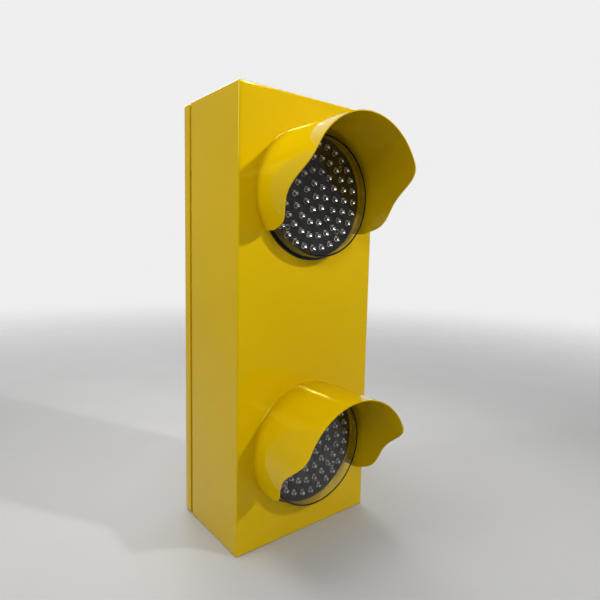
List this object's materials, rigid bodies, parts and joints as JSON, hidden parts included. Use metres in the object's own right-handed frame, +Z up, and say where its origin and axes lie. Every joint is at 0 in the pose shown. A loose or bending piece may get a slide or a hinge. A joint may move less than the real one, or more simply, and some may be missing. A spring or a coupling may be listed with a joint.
{
  "type": "traffic signal head",
  "caption": "Upright two-lamp traffic signal head: yellow folded-sheet case with scooped visors, clear-covered LED modules and a hinged rear door.",
  "frame": {"origin": "middle of the two bolt holes in the bottom wall, on its underside", "axes": "+Z up along the case, +Y out of the rear door, +X to the right seen from the front, the hinge side"},
  "size_m": [0.2794, 0.3251, 0.705],
  "materials": {
    "case_paint": "gloss traffic-yellow powder coat with a slight orange peel",
    "hinge_black": "black painted steel",
    "plain_steel": "plain steel",
    "zinc_plate": "bright zinc plate",
    "gland_plastic": "black nylon",
    "seal_rubber": "black rubber",
    "clear_cover": "clear polycarbonate",
    "module_black": "black moulded plastic, satin",
    "board_dark": "dark solder mask",
    "led_clear": "water-clear epoxy",
    "driver_parts": "circuit board and components",
    "wire_black": "black wire sleeve",
    "wire_yellow": "yellow wire sleeve",
    "wire_red": "dark red wire sleeve",
    "wire_green": "green wire sleeve",
    "terminal_nylon": "milky nylon",
    "terminal_brass": "brass",
    "tag_paper": "blank white tape"
  },
  "bodies": {
    "case": {"bottom_end_panel": "case_paint", "clip_studs": "case_paint", "door_posts": "case_paint", "earth_wire_green": "wire_green", "hinge_body_screws": "hinge_black", "hinge_pins": "plain_steel", "housing_wrap": "case_paint", "link_wire_black": "wire_black", "link_wire_yellow": "wire_yellow", "lower_board_screws": "plain_steel", "lower_clip_nuts": "zinc_plate", "lower_clips": "zinc_plate", "lower_driver_board": "driver_parts", "lower_gasket": "seal_rubber", "lower_hinge_body_leaf": "hinge_black", "lower_led_board": "board_dark", "lower_leds": "led_clear", "lower_lens_cover": "clear_cover", "lower_module_housing": "module_black", "lower_plug": "seal_rubber", "lower_visor": "case_paint", "red_wire_1": "wire_red", "red_wire_2": "wire_red", "supply_wire_black": "wire_black", "tail_wire_black": "wire_black", "tail_wire_yellow": "wire_yellow", "terminal_block_1": "terminal_nylon", "terminal_block_2": "terminal_nylon", "terminal_block_3": "terminal_nylon", "terminal_block_4": "terminal_nylon", "terminal_screws": "plain_steel", "terminal_tubes": "terminal_brass", "top_end_panel": "case_paint", "upper_board_screws": "plain_steel", "upper_clip_nuts": "zinc_plate", "upper_clips": "zinc_plate", "upper_driver_board": "driver_parts", "upper_gasket": "seal_rubber", "upper_hinge_body_leaf": "hinge_black", "upper_led_board": "board_dark", "upper_leds": "led_clear", "upper_lens_cover": "clear_cover", "upper_module_housing": "module_black", "upper_plug": "seal_rubber", "upper_visor": "case_paint", "wire_tag_1": "tag_paper", "wire_tag_2": "tag_paper", "wire_tag_3": "tag_paper", "wire_tag_4": "tag_paper"},
    "door": {"rear_door": "case_paint", "door_edge_flange": "case_paint", "upper_hinge_door_leaf": "hinge_black", "lower_hinge_door_leaf": "hinge_black", "hinge_door_screws": "hinge_black", "gland_body": "gland_plastic", "gland_seal": "seal_rubber", "gland_locknut": "gland_plastic", "gland_insert": "seal_rubber", "gland_dome_nut": "gland_plastic"}
  },
  "joints": [
    {"name": "door_hinge", "type": "hinge", "parent": "case", "child": "door", "pos_m": [0.1397, 0.0585, 0.3525], "axis": [0, 0, -1], "range_deg": [0, 160]}
  ]
}
